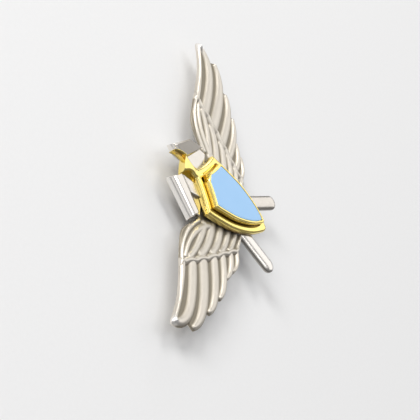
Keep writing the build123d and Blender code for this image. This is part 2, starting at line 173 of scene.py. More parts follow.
def nearest(x, y, curve):
    """For every point of a grid: distance to a curve, share along it, and side (+1 left of it)."""
    flat = np.stack([x.ravel(), y.ravel()], -1)
    best = np.full(len(flat), 1e9)
    share = np.zeros(len(flat))
    side = np.ones(len(flat))
    count = len(curve) - 1
    for k in range(count):
        along = curve[k + 1] - curve[k]
        from_start = flat - curve[k]
        t = np.clip(from_start @ along / (along @ along), 0, 1)
        off = from_start - t[:, None] * along
        distance = np.hypot(off[:, 0], off[:, 1])
        closer = distance < best
        best[closer] = distance[closer]
        share[closer] = (k + t[closer]) / count
        side[closer] = np.sign(along[0] * from_start[closer, 1] - along[1] * from_start[closer, 0])
    return best.reshape(x.shape), share.reshape(x.shape), side.reshape(x.shape)

# %% [markdown]
# ## Finishes
# A finish is a small tree of shader nodes. Writing it as arithmetic is easier to read than
# placing nodes one by one, so a Wire wraps one output socket and each operator on it adds the
# Math node that does the sum. Colours never pass through Math nodes, which would turn them grey.

# %% Shader arithmetic
class Wire:
    """One output socket. Arithmetic on it adds a Math node and gives back the node's output."""

    def __init__(self, finish, socket):
        self.finish, self.socket = finish, socket

    def sum_of(self, operation, first, second):
        return self.finish.node("ShaderNodeMath", {"operation": operation}, {0: first, 1: second})

    def __add__(self, other):
        return self.sum_of("ADD", self, other)

    def __sub__(self, other):
        return self.sum_of("SUBTRACT", self, other)

    def __rsub__(self, other):
        return self.sum_of("SUBTRACT", other, self)

    def __mul__(self, other):
        return self.sum_of("MULTIPLY", self, other)

    __radd__, __rmul__ = __add__, __mul__


class Finish:
    """A material under construction: node() adds any node, and skin() ends it with the shader."""

    def __init__(self, name):
        self.material = bpy.data.materials.new(name)
        self.material.use_nodes = True
        self.tree = self.material.node_tree
        self.tree.nodes.clear()

    def node(self, kind, settings=None, sockets=None, output=0):
        """Adds a node: its settings first, then the values or wires of its sockets."""
        made = self.tree.nodes.new(kind)
        for key, value in (settings or {}).items():
            setattr(made, key, value)
        for key, value in (sockets or {}).items():
            if isinstance(value, Wire):
                self.tree.links.new(value.socket, made.inputs[key])
            else:
                made.inputs[key].default_value = value
        return Wire(self, made.outputs[output]) if made.outputs else None

    def grain(self, scale, detail, stretch=(1, 1, 1)):
        """Noise from 0 to 1 in the piece's own coordinates; scale is waves per millimetre."""
        place = self.node("ShaderNodeTexCoord", output="Object")
        place = self.node("ShaderNodeMapping", None, {"Vector": place, "Scale": stretch})
        sockets = {"Vector": place, "Scale": scale / MM, "Detail": detail, "Roughness": 0.5}
        return self.node("ShaderNodeTexNoise", None, sockets)

    def between(self, low, high, value):
        """0 below low, 1 above high, and a smooth rise between."""
        settings = {"interpolation_type": "SMOOTHSTEP"}
        sockets = {"Value": value, "From Min": low, "From Max": high}
        return self.node("ShaderNodeMapRange", settings, sockets)

    def colours(self, share, first, second):
        """Colour that goes from the first to the second as the share goes from 0 to 1."""
        sockets = {0: share, 6: (*first, 1) if isinstance(first, tuple) else first,
                   7: (*second, 1) if isinstance(second, tuple) else second}
        return self.node("ShaderNodeMix", {"data_type": "RGBA"}, sockets, output=2)

    def mark(self, name):
        """A value that the mesh carries at each point."""
        return self.node("ShaderNodeAttribute", {"attribute_name": name}, output="Fac")

    def skin(self, bump, depth, **sockets):
        """Ends the material with one Principled shader; depth is the bump's height in millimetres."""
        sockets = {key.replace("_", " "): value for key, value in sockets.items()}
        sockets["Normal"] = self.node("ShaderNodeBump", None, {"Height": bump, "Distance": depth * MM})
        shader = self.node("ShaderNodeBsdfPrincipled", None, sockets)
        self.node("ShaderNodeOutputMaterial", None, {"Surface": shader})
        return self.material

# %% [markdown]
# ## Satin silver
# The wings are struck brass with a satin silver plate. It looks warm and soft: fine pits
# break up the reflections, and the grooves are painted darker towards brown, partly for a little
# tarnish that polishing never reaches and partly as painted shade. An image could hold this
# darkening, but it would have to be unwrapped and lined up with the grooves. Here the mesh
# carries two marks instead, worked out with its heights. Hollow is 1 in the grooves and 0 on the
# crowns, and bright is 1 where a painted highlight lightens the plate, on the knob at the tip.

# %% Satin silver
def satin_silver():
    f = Finish("satin_silver")
    pits = f.grain(9.0, detail=4)
    clouds = f.grain(0.35, detail=3)
    hollow = f.mark("hollow")
    # tarnish and painted shade: darker and browner the deeper a point lies in a groove
    tarnish_and_shade = f.between(0.3, 1.0, hollow + (clouds - 0.5) * 0.3)
    metal = f.colours(clouds, (0.67, 0.62, 0.54), (0.76, 0.71, 0.63))
    # painted highlight where the bright mark is high
    metal = f.colours(f.mark("bright"), metal, (0.97, 0.95, 0.92))
    colour = f.colours(tarnish_and_shade * 0.78, metal, (0.20, 0.17, 0.115))
    rough = 0.38 + pits * 0.12 + tarnish_and_shade * 0.12
    return f.skin(bump=pits, depth=0.006, Base_Color=colour, Metallic=1.0, Roughness=rough)


SATIN = satin_silver()
print("nodes:", len(SATIN.node_tree.nodes))

# %% [markdown]
# ## Polished silver
# The bars and their heads are polished, so they are nearly a mirror. Faint lines along one
# direction are left by the polishing wheel. They could be scratches in the mesh, but noise
# stretched along one axis and used as a bump costs nothing. Low walls are painted nearly black
# as shade, the short head's top as a dark reflection, and the bright mark paints highlights.

# %% Polished silver
def polished_silver():
    f = Finish("polished_silver")
    clouds = f.grain(0.5, detail=4)
    lines = f.grain(14.0, detail=2, stretch=(1, 0.12, 1))
    metal = f.colours(clouds, (0.60, 0.555, 0.495), (0.72, 0.675, 0.615))
    # painted highlight where the bright mark is high
    metal = f.colours(f.mark("bright"), metal, (0.93, 0.90, 0.86))
    # painted shade and painted dark reflection: nearly black where the hollow mark is high
    colour = f.colours(f.mark("hollow"), metal, (0.045, 0.04, 0.03))
    rough = 0.14 + lines * 0.10 + clouds * 0.06
    return f.skin(bump=lines, depth=0.002, Base_Color=colour, Metallic=1.0, Roughness=rough)


POLISHED = polished_silver()
print("nodes:", len(POLISHED.node_tree.nodes))

# %% [markdown]
# ## Gold plate
# The shield and the crest are gilt. Gold is a metal whose colour is all in its reflections, so
# the base colour is strong, and where the hollow mark is high it goes to a deep brown as painted
# shade. A perfect mirror would look like a computer's gold, so slow ripples bend it a little.

# %% Gold plate
def gold_plate():
    f = Finish("gold_plate")
    clouds = f.grain(0.7, detail=4)
    ripples = f.grain(2.2, detail=2)
    hollow = f.mark("hollow")
    metal = f.colours(clouds, (1.0, 0.77, 0.20), (1.0, 0.85, 0.34))
    # painted shade: deep brown where the hollow mark is high
    colour = f.colours(f.between(0.0, 1.0, hollow) * 0.92, metal, (0.20, 0.10, 0.006))
    rough = 0.16 + clouds * 0.08 + hollow * 0.15
    return f.skin(bump=ripples, depth=0.006, Base_Color=colour, Metallic=1.0, Roughness=rough)


GOLD = gold_plate()
print("nodes:", len(GOLD.node_tree.nodes))

# %% [markdown]
# ## Blue enamel
# Hard enamel is coloured glass powder fused in the tray and ground flat. It could be made as
# real glass over gold, but this one is opaque, so no light comes back from the tray's floor.
# It is a pale blue body with a thin glossy coat, and colour and flow that hardly vary.

# %% Blue enamel
def blue_enamel():
    f = Finish("blue_enamel")
    clouds = f.grain(0.16, detail=2)
    flow = f.grain(0.5, detail=3)
    colour = f.colours(clouds, (0.29, 0.545, 0.85), (0.33, 0.575, 0.88))
    return f.skin(bump=flow, depth=0.01, Base_Color=colour, Roughness=0.3 + flow * 0.08,
                  Coat_Weight=0.25, Coat_Roughness=0.08)


ENAMEL = blue_enamel()
print("nodes:", len(ENAMEL.node_tree.nodes))

# %% [markdown]
# ## Plated back and steel
# Nobody polishes the back. The carrier has a thin nickel plate, and the fasteners and the
# brooch pin are bright steel, each with fine scratches along the wings. These CAD pieces are
# shown as they are: only their finish is set, by the slot that the record gives them.

# %% Plain metals
def plain_steel(name, low, high, grain_size):
    f = Finish(name)
    clouds = f.grain(0.4, detail=4)
    scratches = f.grain(grain_size, detail=3, stretch=(0.15, 1, 1))
    colour = f.colours(clouds, low, high)
    return f.skin(bump=scratches, depth=0.004, Base_Color=colour, Metallic=1.0,
                  Roughness=0.24 + scratches * 0.16)


BACK = plain_steel("nickel_back", (0.62, 0.60, 0.57), (0.74, 0.72, 0.69), 7.0)
STEEL = plain_steel("bright_steel", (0.52, 0.52, 0.53), (0.66, 0.66, 0.67), 12.0)
BY_SLOT = {"satin_silver": SATIN, "polished_silver": POLISHED, "gold": GOLD,
           "blue_enamel": ENAMEL, "plated_back": BACK, "plain_steel": STEEL}
slot_of = {part["node"]: part["material_slot"] for part in frame["record"]["subparts"]}
for node, piece in frame["nodes"].items():
    piece.data.materials.clear()
    piece.data.materials.append(BY_SLOT[slot_of[node]])
print("finishes:", sorted(BY_SLOT))

# %% [markdown]
# ## The wings
# A wing is struck from one sheet, so it is one surface: a height over a sheet of points.
# Separate feathers laid side by side would show gaps that a struck wing can't have. Each
# feather is a low round ridge along a bowed line, and the height at a point is the tallest
# ridge there, which leaves crisp valleys between feathers. The outline is where the outermost
# ridges end, so the trailing edge gets its scallops from the feathers themselves. Each line of
# the tables below is one feather: where it starts, what it bows towards, where it ends, and
# its half-width at the root and at the tip.

# %% Feather lines
OUTER = [
    ((21.9, 5.7), (29.5, 5.0), (36.2, 6.8), 1.0, 0.85),
    ((20.8, 2.6), (35.4, 0.3), (36.55, 6.6), 1.75, 0.95),
    ((18.6, -0.7), (31.0, -3.4), (34.9, 0.6), 1.95, 0.85),
    ((16.0, -4.1), (25.8, -6.5), (28.9, -3.9), 1.6, 0.85),
    ((13.8, -6.9), (20.7, -8.8), (23.9, -6.9), 1.3, 0.8),
    ((11.8, -9.5), (15.6, -10.5), (18.0, -8.7), 1.05, 0.65),
    ((10.2, -11.4), (13.0, -12.4), (15.3, -10.6), 0.75, 0.6),
]
INNER = [
    ((22.2, 5.9), (15.2, 7.5), (9.3, 1.9), 0.55, 0.7),
    ((20.2, 5.2), (12.8, 4.3), (8.4, -1.6), 0.7, 1.45),
    ((19.5, 3.7), (15.8, 1.1), (9.0, -0.2), 1.0, 1.35),
    ((17.0, 0.3), (14.0, -2.2), (7.6, -2.7), 1.25, 1.5),
    ((14.6, -3.2), (12.2, -5.3), (6.0, -5.5), 1.15, 1.35),
    ((12.9, -6.0), (10.6, -7.9), (5.0, -8.1), 1.0, 1.15),
    ((10.9, -8.7), (9.0, -10.2), (4.2, -10.5), 0.85, 1.0),
    ((9.4, -11.1), (7.8, -12.1), (3.6, -12.2), 0.6, 0.75),
]
RIB = through([(22.4, 6.6), (21.3, 5.0), (18.9, 1.3), (16.3, -2.4), (13.6, -5.9),
               (11.1, -9.2), (9.3, -11.7), (8.7, -12.8)], 120)
FRONT_EDGE = through([(5.4, 0.4), (8.2, 1.9), (9.6, 2.9), (11.3, 4.45), (13.2, 5.95),
                      (15.0, 6.75), (17.6, 6.85), (21.2, 6.6), (24.6, 6.2), (30.0, 6.05),
                      (34.0, 6.65), (35.9, 7.2), (36.7, 7.4)], 400)
GUIDE = through([(3.2, -13.2), (9.6, -13.6), (14.0, -12.6), (21.2, -10.2), (28.6, -7.1),
                 (34.2, -2.8), (37.4, 1.8), (38.2, 5.2), (38.2, 7.0)], 400)
print("feathers on a wing:", len(OUTER) + len(INNER))

# %% Ridges
RIDGE_SHARE = 0.88  # share of a feather's half-width at which its ridge reaches the ground
TAPER = 2.2  # how late along the feather its width changes


def ridges(x, y, feathers, crown):
    """Tallest of the feathers' ridges: crown times one less the square of distance over half-width."""
    height = np.full(x.shape, -1.0)
    for root, pull, tip, wide, narrow in feathers:
        distance, share, _ = nearest(x, y, bow(root, pull, tip, 26))
        width = wide + (narrow - wide) * share**TAPER
        height = np.maximum(height, crown * (1 - (distance / (RIDGE_SHARE * width)) ** 2))
    return height


# %% Wing outline
ROWS, COLUMNS = 520, 165
LEAST_REACH = 0.02  # the sheet never closes up completely where no feather covers it
CROWDED = 0.25  # how strongly the columns crowd towards both edges


def wing_grid(front, guide, reach):
    """Points that go from the leading edge to the guide line by a share, reach, of the way."""
    return (front[:, :1] + (guide[:, :1] - front[:, :1]) * reach,
            front[:, 1:] + (guide[:, 1:] - front[:, 1:]) * reach)


def trailing_edge(front, guide):
    """Share of the way to the guide line at which the last feather ends, for every row."""
    reach = np.linspace(0, 1, 260)
    x, y = wing_grid(front, guide, reach[None, :])
    cover = ridges(x, y, OUTER + INNER, 1.0) > 1 - 1 / RIDGE_SHARE**2
    last = len(reach) - 1 - np.argmax(cover[:, ::-1], axis=1)
    end = np.where(cover.any(axis=1), np.maximum(reach[last], LEAST_REACH), LEAST_REACH)
    return np.convolve(np.pad(end, 2, mode="edge"), np.ones(5) / 5, mode="valid")

# %% [markdown]
# The heights follow from the ridges. Between the two rows of feathers runs a wavy rib, and its
# wave makes the roots of the outer feathers look tucked under the inner ones. A small knob
# stands on the tip with a painted highlight on it, and a quarter round softens the sheet's own edge.

# %% Wing surface
WING_GROUND = CARRIER_FRONT + 0.5
CROWN = 0.5
INNER_CROWN = 0.9 * CROWN
RIB_CROWN, RIB_WIDTH = 1.15 * CROWN, 0.85
RIB_WAVES, RIB_SWING = 7.5, 0.3
KNOB, KNOB_HEIGHT = (36.5, 6.7), 0.45
EDGE_FALL, EDGE_WIDTH = 0.34, 0.42


def near_knob(x, y, spread, place=KNOB):
    """Bell round the tip's knob: e to the power of minus the squared distance over the spread."""
    return np.exp(-((x - place[0]) ** 2 + (y - place[1]) ** 2) / spread)


def wing_surface():
    """Sheet of points from the leading edge to the trailing edge, their heights and hollow marks.

    A height is the tallest ridge of the row of feathers on that side of the rib, or the rib's
    own ridge, less a quarter round at the edges."""
    front, guide = evenly(FRONT_EDGE, ROWS), evenly(GUIDE, ROWS)
    end = trailing_edge(front, guide)
    crowded = (1 - np.cos(np.linspace(0, math.pi, COLUMNS))) / 2
    share = crowded * CROWDED + np.linspace(0, 1, COLUMNS) * (1 - CROWDED)
    x, y = wing_grid(front, guide, end[:, None] * share[None, :])
    gap, along, side = nearest(x, y, RIB)
    offset = gap * side + RIB_SWING * (np.abs(np.sin(math.pi * RIB_WAVES * along)) - 0.5)
    height = np.where(offset > 0, ridges(x, y, OUTER, CROWN), ridges(x, y, INNER, INNER_CROWN))
    rib = RIB_CROWN * (1 - (np.abs(offset) / RIB_WIDTH) ** 2)
    height = np.maximum(np.maximum(height, rib), 0.0) + KNOB_HEIGHT * near_knob(x, y, 0.5)
    # hollow mark: groove depth, which the finish paints as tarnish and shade; kept off the knob
    hollow = np.clip(1 - height / CROWN, 0, 1) * (1 - near_knob(x, y, 1.2))
    chord = np.hypot(*(guide - front).T) * end
    edge = np.minimum(share, 1 - share)[None, :] * chord[:, None]
    inside = 1 - np.clip(edge / EDGE_WIDTH, 0, 1)
    fall = EDGE_FALL * (1 - np.sqrt(np.clip(1 - inside**2, 0, 1)))
    return x, y, WING_GROUND + height - fall, hollow


# %% Wings
def closed_sheet(x, y, top, bottom):
    """Points and faces of a sheet with a flat back: the front grid, its rim let down, and the back."""
    rows, columns = x.shape
    front = np.stack([x, y, top], -1).reshape(-1, 3)
    low = np.full(rows, bottom)
    first = np.stack([x[:, 0], y[:, 0], low], -1)
    last = np.stack([x[:, -1], y[:, -1], low], -1)
    count = rows * columns
    a = count + np.arange(rows)
    b = a + rows
    left = np.arange(rows) * columns
    right = left + columns - 1
    faces = grid_faces(rows, columns)
    faces += np.stack([left[:-1], left[1:], a[1:], a[:-1]], -1).tolist()
    faces += np.stack([right[1:], right[:-1], b[:-1], b[1:]], -1).tolist()
    faces += np.stack([a[:-1], a[1:], b[1:], b[:-1]], -1).tolist()
    faces.append([*range(columns - 1, -1, -1), int(a[0]), int(b[0])])
    faces.append([*range(count - columns, count), int(b[-1]), int(a[-1])])
    return np.vstack([front, first, last]), faces


wx, wy, wz, wing_hollow = wing_surface()
wing_points, wing_faces = closed_sheet(wx, wy, wz, CARRIER_FRONT)
# painted highlight on the tip's knob, carried by the bright mark
tip_highlight = near_knob(wx, wy, 1.2, (36.6, 6.8))
# hollow paints tarnish and shade into the grooves, and a little onto the sheet's rim
wing_marks = {"hollow": np.r_[wing_hollow.ravel(), np.full(2 * ROWS, 0.3)],
              "bright": np.r_[tip_highlight.ravel(), np.zeros(2 * ROWS)]}
make_piece("feathers_right", wing_points, wing_faces, SATIN, stands_for=["wing_right"],
           crease=50, marks=wing_marks)
make_piece("feathers_left", wing_points * (-1, 1, 1), turned_over(wing_faces), SATIN,
           stands_for=["wing_left"], crease=50, marks=wing_marks)

# %% [markdown]
# ## Rims and blocks
# The frame, the tray, the bars and the heads all have straight or gently bent outlines with a
# bevelled edge. Each is one profile carried round an outline. A Bevel modifier could round a
# plain block, but all its edges would be alike. The profile says how far in from the outline
# and how high each line runs, and corners are mitred so that bevels stay even.

# %% Profile round an outline
SHARPEST = 0.6  # least squared length of the two normals' sum, so that no mitre runs away


def miters(outline):
    """For each corner of a closed outline, the step inwards that keeps both sides parallel.

    It is twice the sum of both sides' unit normals over that sum's squared length."""
    before = outline - np.roll(outline, 1, 0)
    after = np.roll(outline, -1, 0) - outline
    quarter_turn = np.array([[0, 1], [-1, 0]])
    middle = (before @ quarter_turn / np.linalg.norm(before, axis=1)[:, None]
              + after @ quarter_turn / np.linalg.norm(after, axis=1)[:, None])
    return 2 * middle / np.maximum((middle**2).sum(1), SHARPEST)[:, None]


def carried(outline, profile):
    """Profile of (step inwards, height) carried round an anticlockwise outline, capped at both ends."""
    outline = np.asarray(outline, float)
    profile = np.asarray(profile, float)
    step = miters(outline)
    flat = outline[None] + profile[:, None, :1] * step[None]
    high = np.broadcast_to(profile[:, None, 1:], flat.shape[:2] + (1,))
    points = np.concatenate([flat, high], -1)
    return points.reshape(-1, 3), tube_faces(*points.shape[:2])


def filleted(corners, radius):
    """Polygon whose corners are short arcs, each drawn as a bow between its two tangent points."""
    out = []
    for k, corner in enumerate(corners):
        back = corners[k - 1] - corner
        ahead = corners[(k + 1) % len(corners)] - corner
        cut = min(radius, 0.45 * np.linalg.norm(back), 0.45 * np.linalg.norm(ahead))
        out.append(bow(corner + back / np.linalg.norm(back) * cut, corner,
                       corner + ahead / np.linalg.norm(ahead) * cut, 6))
    return np.vstack(out)

# %% [markdown]
# ## The shield
# A gold frame, a deep line, a gold tray standing out of it, and hard enamel in the tray. Boolean
# cuts could sink one form into another, but they leave ragged faces that shade badly. The
# sides bow out and meet in a point, and the shoulders are hollow: each is an arc struck from
# above. The tray's outline is the frame's own, stepped inwards, with its peak cut off flat.
# Each step's outline is worked out afresh, because mitred arcs would cross near the peak.

# %% Shield measures
CORNER, APEX, FOOT = (7.75, 1.1), 7.0, -19.6
SIDE = [CORNER, (7.35, -3.0), (6.35, -8.4), (3.9, -14.3), (0.0, FOOT)]
SAG = 0.55  # depth of the hollow shoulder under its chord
CORNER_SLOPE = 1.12  # how far the corner moves in for each millimetre of step
CHORD = math.hypot(CORNER[0], APEX - CORNER[1])
RADIUS = (CHORD**2 / 4 + SAG**2) / (2 * SAG)
CENTRE_X = CORNER[0] / 2 + (APEX - CORNER[1]) / CHORD * (RADIUS - SAG)
CENTRE_Y = (APEX + CORNER[1]) / 2 + CORNER[0] / CHORD * (RADIUS - SAG)


def shoulder(x, step=0.0):
    """Height of the hollow shoulder at x: a circle struck from above, its radius grown by step."""
    return CENTRE_Y - np.sqrt((RADIUS + step) ** 2 - (CENTRE_X - np.abs(x)) ** 2)


print("shoulder radius, mm:", round(RADIUS, 2))


# %% Shield outlines
def shield_row(step, flat_y=None, foot=0.5):
    """Anticlockwise outline of the shield, stepped inwards.

    flat_y is the height at which the peak is cut off flat, and foot is half the width at which
    the sides turn round into the tip."""
    side = through(SIDE, 160)
    run = np.gradient(side, axis=0)
    run /= np.linalg.norm(run, axis=1)[:, None]
    side = side + np.stack([run[:, 1], -run[:, 0]], -1) * step
    corner_x = CORNER[0] - CORNER_SLOPE * step
    corner = np.array([corner_x, shoulder(corner_x, step)])
    tip_y = FOOT + step / abs(run[-1, 0])
    side = side[(side[:, 1] < corner[1] - 0.1) & (side[:, 0] > foot)]
    side = evenly(np.vstack([corner, side]), 60)
    end_x, end_y = side[-1]
    pull = (0.55 * end_x, 0.45 * end_y + 0.55 * tip_y)
    turn = bow(side[-1], pull, (0.0, tip_y + 0.4 * foot), 9)[1:]
    top_x = 0.0
    if flat_y is not None:
        top_x = CENTRE_X - math.sqrt((RADIUS + step) ** 2 - (CENTRE_Y - flat_y) ** 2)
    across = np.linspace(top_x, corner_x, 16)[:-1]
    half = np.vstack([np.stack([across, shoulder(across, step)], -1), side, turn])
    start = 1 if flat_y is None else 0
    return np.vstack([half[::-1], half[start:-1] * (-1, 1)])


def shield_shell(profile, first, flat_y=None, foot=0.5, ring=True):
    """Stacked outlines, one for each (step inwards, height), all stepped in by first as well.

    flat_y sinks and foot narrows as the step grows."""
    rows = []
    for step, height in profile:
        flat = None if flat_y is None else flat_y - step
        row = shield_row(first + step, flat, max(foot - 0.3 * step, 0.4))
        rows.append(np.column_stack([row, np.full(len(row), height)]))
    points = np.array(rows)
    faces = ring_faces if ring else tube_faces
    return points.reshape(-1, 3), faces(*points.shape[:2])

# %% [markdown]
# The frame's profile goes up the outer wall, over a round rim and down the inner wall to a
# ledge. Its walls and ledge are painted dark as shade and dark reflection, more so towards the
# foot, and its rim is bright all round.

# %% Gold frame
FRAME_LEDGE = FRAME_LOW + 0.95
rim = [(0.02, FRAME_LOW), (0, FRAME_LOW + 0.12), (0, FRAME_TOP - 0.55), (0.06, FRAME_TOP - 0.34),
       (0.2, FRAME_TOP - 0.15), (0.42, FRAME_TOP - 0.04), (0.72, FRAME_TOP), (1.05, FRAME_TOP),
       (1.32, FRAME_TOP - 0.04), (1.45, FRAME_TOP - 0.12), (1.5, FRAME_TOP - 0.26),
       (1.5, FRAME_LEDGE), (1.95, FRAME_LEDGE), (1.95, FRAME_LOW)]
# painted shade for each line of the profile: an even part and a part that grows towards the foot
RIM_SHADE = [(0.15, 0.85), (0, 0.9), (0, 0.35), (0, 0.15), (0, 0), (0, 0), (0, 0), (0, 0), (0, 0),
            (0, 0), (0.1, 0.2), (0.35, 0.65), (0.35, 0.65), (0.35, 0.65)]
frame_points, frame_faces = shield_shell(rim, 0.0, foot=1.7)
# painted shade and dark reflection, darker towards the foot of the shield
towards_foot = np.clip((-2.0 - shield_row(0.0)[:, 1]) / 6, 0, 1)
frame_shade = np.concatenate([even + more * towards_foot for even, more in RIM_SHADE])
make_piece("gold_frame", frame_points, frame_faces, GOLD, stands_for=["shield_frame"],
           marks={"hollow": frame_shade})

# %% [markdown]
# The tray has a thin soft rim and a floor sunk by the enamel's depth. Its outer wall and floor
# are painted dark as shade, less so towards the top of the shield.

# %% Gold tray
TRAY_FLOOR = TRAY_TOP - 0.58
tray = [(0, TRAY_LOW), (0, TRAY_TOP - 0.35), (0.05, TRAY_TOP - 0.14), (0.18, TRAY_TOP - 0.02),
        (0.3, TRAY_TOP), (0.5, TRAY_TOP - 0.01), (0.58, TRAY_TOP - 0.08), (0.6, TRAY_FLOOR),
        (1.3, TRAY_FLOOR), (1.3, TRAY_LOW)]
# painted shade for each line of the profile, from the foot of the outer wall to the floor
TRAY_SHADE = [0.9, 0.15, 0.05, 0, 0, 0, 0.1, 0.3, 1, 1]
tray_points, tray_faces = shield_shell(tray, 1.8, flat_y=3.25)
tray_shade = np.repeat(TRAY_SHADE, len(tray_points) // len(tray))
# painted shade fades towards the top of the shield
tray_shade *= np.clip(0.35 - tray_points[:, 1] / 3, 0.1, 1)
make_piece("gold_tray", tray_points, tray_faces, GOLD, stands_for=["inner_shield"],
           marks={"hollow": tray_shade})

# %% [markdown]
# The enamel fills the tray from just above its floor to just under its rim, with the small
# round edge that the glass draws as it melts.

# %% Enamel
enamel = [(0, TRAY_FLOOR + 0.01), (0, TRAY_TOP - 0.1), (0.06, TRAY_TOP - 0.05),
          (0.2, TRAY_TOP - 0.03), (0.4, TRAY_TOP - 0.03)]
enamel_points, enamel_faces = shield_shell(enamel, 2.41, flat_y=2.64, foot=0.7, ring=False)
make_piece("enamel", enamel_points, enamel_faces, ENAMEL, stands_for=["enamel_field"])

# %% [markdown]
# ## Heads
# Each head is a polished block with a flared foot, and its top is smaller than its walls and
# lies askew, so the faces between them slope. A flat neck runs from the block to under the
# frame, and the longer head has a step on its neck. Fusing the parts would need cuts where
# they meet. Each is a closed shell of its own instead, and one mesh holds them all.

# %% Blocks
def facing_left(outline):
    """The same outline turned so that it runs anticlockwise."""
    outline = np.asarray(outline, float)
    x, y = outline[:, 0], outline[:, 1]
    area = (x * np.roll(y, -1) - np.roll(x, -1) * y).sum()
    return outline if area > 0 else outline[::-1]


def joined(*shells):
    """Several closed shells as one table of points and one table of faces."""
    points, faces, start = [], [], 0
    for shell_points, shell_faces in shells:
        points.append(shell_points)
        faces += [[i + start for i in face] for face in shell_faces]
        start += len(shell_points)
    return np.vstack(points), faces


def block(corners, profile, radius, top):
    """Polygon filleted anew at each (step inwards, height, share of the way to the top's corners)."""
    corners, top = facing_left(corners), facing_left(top)
    rows = []
    for step, height, share in profile:
        row = corners + (top - corners) * share
        row = filleted(row + step * miters(row), radius)
        rows.append(np.column_stack([row, np.full(len(row), height)]))
    return np.vstack(rows), tube_faces(len(rows), len(rows[0]))


def slab(corners, low, high):
    """Flat piece between two heights with a small soft edge."""
    profile = [(0, low, 0), (0, high - 0.12, 0), (0.07, high - 0.03, 0), (0.17, high, 0),
               (0.32, high, 0)]
    return block(corners, profile, 0.15, corners)


def head(corners, top, low, flare, drop):
    """Block with a flared foot and sloping faces, drop high, between its walls and its flat top."""
    profile = [(-flare, low, 0), (-flare, low + 0.3, 0), (-0.04, low + 1.15, 0), (0, low + 1.25, 0),
               (0, HEAD_TOP - drop - 0.05, 0), (0.03, HEAD_TOP - drop, 0), (0, HEAD_TOP - 0.05, 0.93),
               (0, HEAD_TOP, 1), (0.12, HEAD_TOP, 1)]
    return block(corners, profile, 0.2, top)


print("heads reach, mm:", round(HEAD_TOP, 2))

# %% Long head
HAIR = 0.001
# painted highlights: the blocks' walls are lightened much, the necks a little
WALL_HIGHLIGHT, NECK_HIGHLIGHT = 0.75, 0.1
LONG_BLOCK = [(-4.15, 12.0), (-10.3, 4.7), (-8.1, 2.95), (-1.85, 9.2)]
LONG_TOP = [(-3.75, 11.2), (-9.6, 4.45), (-8.6, 3.55), (-2.35, 9.85)]
LONG_NECK = [(-2.6, 2.05), (-8.3, 2.05), (-8.9, 4.3), (-3.5, 10.1), (-2.6, 9.0)]
LONG_STEP = [(-2.0, 9.2), (-1.9, shoulder(1.9)), (-4.4, shoulder(4.4)), (-5.0, 6.1)]
long_head = head(LONG_BLOCK, LONG_TOP, CARRIER_FRONT - 0.35, 0.25, 0.27)
long_points, long_faces = joined(long_head,
                                 slab(LONG_NECK, CARRIER_FRONT, WING_TOP),
                                 slab(LONG_STEP, CARRIER_FRONT + 0.3, HEAD_TOP - 0.14))
long_top = long_points[:, 2] > HEAD_TOP - HAIR
# painted highlight on the long head's walls, and a little on its top
long_highlight = np.where(long_top, 0.2, WALL_HIGHLIGHT)
long_highlight[len(long_head[0]):] = NECK_HIGHLIGHT
make_piece("head_left", long_points, long_faces, POLISHED, stands_for=["bar_head_left"],
           marks={"bright": long_highlight})

# %% Short head
SHORT_BLOCK = [(3.75, 13.05), (8.3, 8.0), (8.75, 3.6), (2.65, 8.7), (2.65, 11.3)]
SHORT_TOP = [(3.9, 12.15), (8.05, 7.9), (8.45, 4.1), (3.45, 8.6), (3.35, 10.9)]
SHORT_NECK = [(2.6, 2.05), (8.3, 2.05), (8.4, 4.1), (2.9, 8.8), (2.6, 8.5)]
short_head = head(SHORT_BLOCK, SHORT_TOP, CARRIER_FRONT - 0.1, 0.2, 0.3)
short_points, short_faces = joined(short_head, slab(SHORT_NECK, CARRIER_FRONT, WING_TOP))
short_top = short_points[:, 2] > HEAD_TOP - HAIR
# painted highlight on the short head's walls
short_highlight = np.where(short_top, 0.0, WALL_HIGHLIGHT)
short_highlight[len(short_head[0]):] = NECK_HIGHLIGHT
# painted dark reflection on the short head's top, through the hollow mark
make_piece("head_right", short_points, short_faces, POLISHED, stands_for=["bar_head_right"],
           marks={"hollow": np.where(short_top, 0.62, 0.0), "bright": short_highlight})

# %% [markdown]
# ## Bars
# The two bars cross behind the shield and show below it. Each is a round-topped strip with a
# round end, and it rises a little towards that end. A bevelled curve could draw it, but then
# its back would be round too. The profile climbs a short wall and then follows a quarter
# circle, so the whole top is one soft round over a flat back.

# %% Bars
WALL_SHARE = 0.4  # share of a bar's height that is upright wall
ARC_END = 0.47 * math.pi  # the quarter circle stops short, which leaves a narrow flat on top
# painted shade on the bars' walls, darkest low on the wall
BAR_SHADE = [0.3, 0.7, 0.5, 0.2, 0.05, 0, 0, 0, 0, 0]  # from the back up the wall to the top


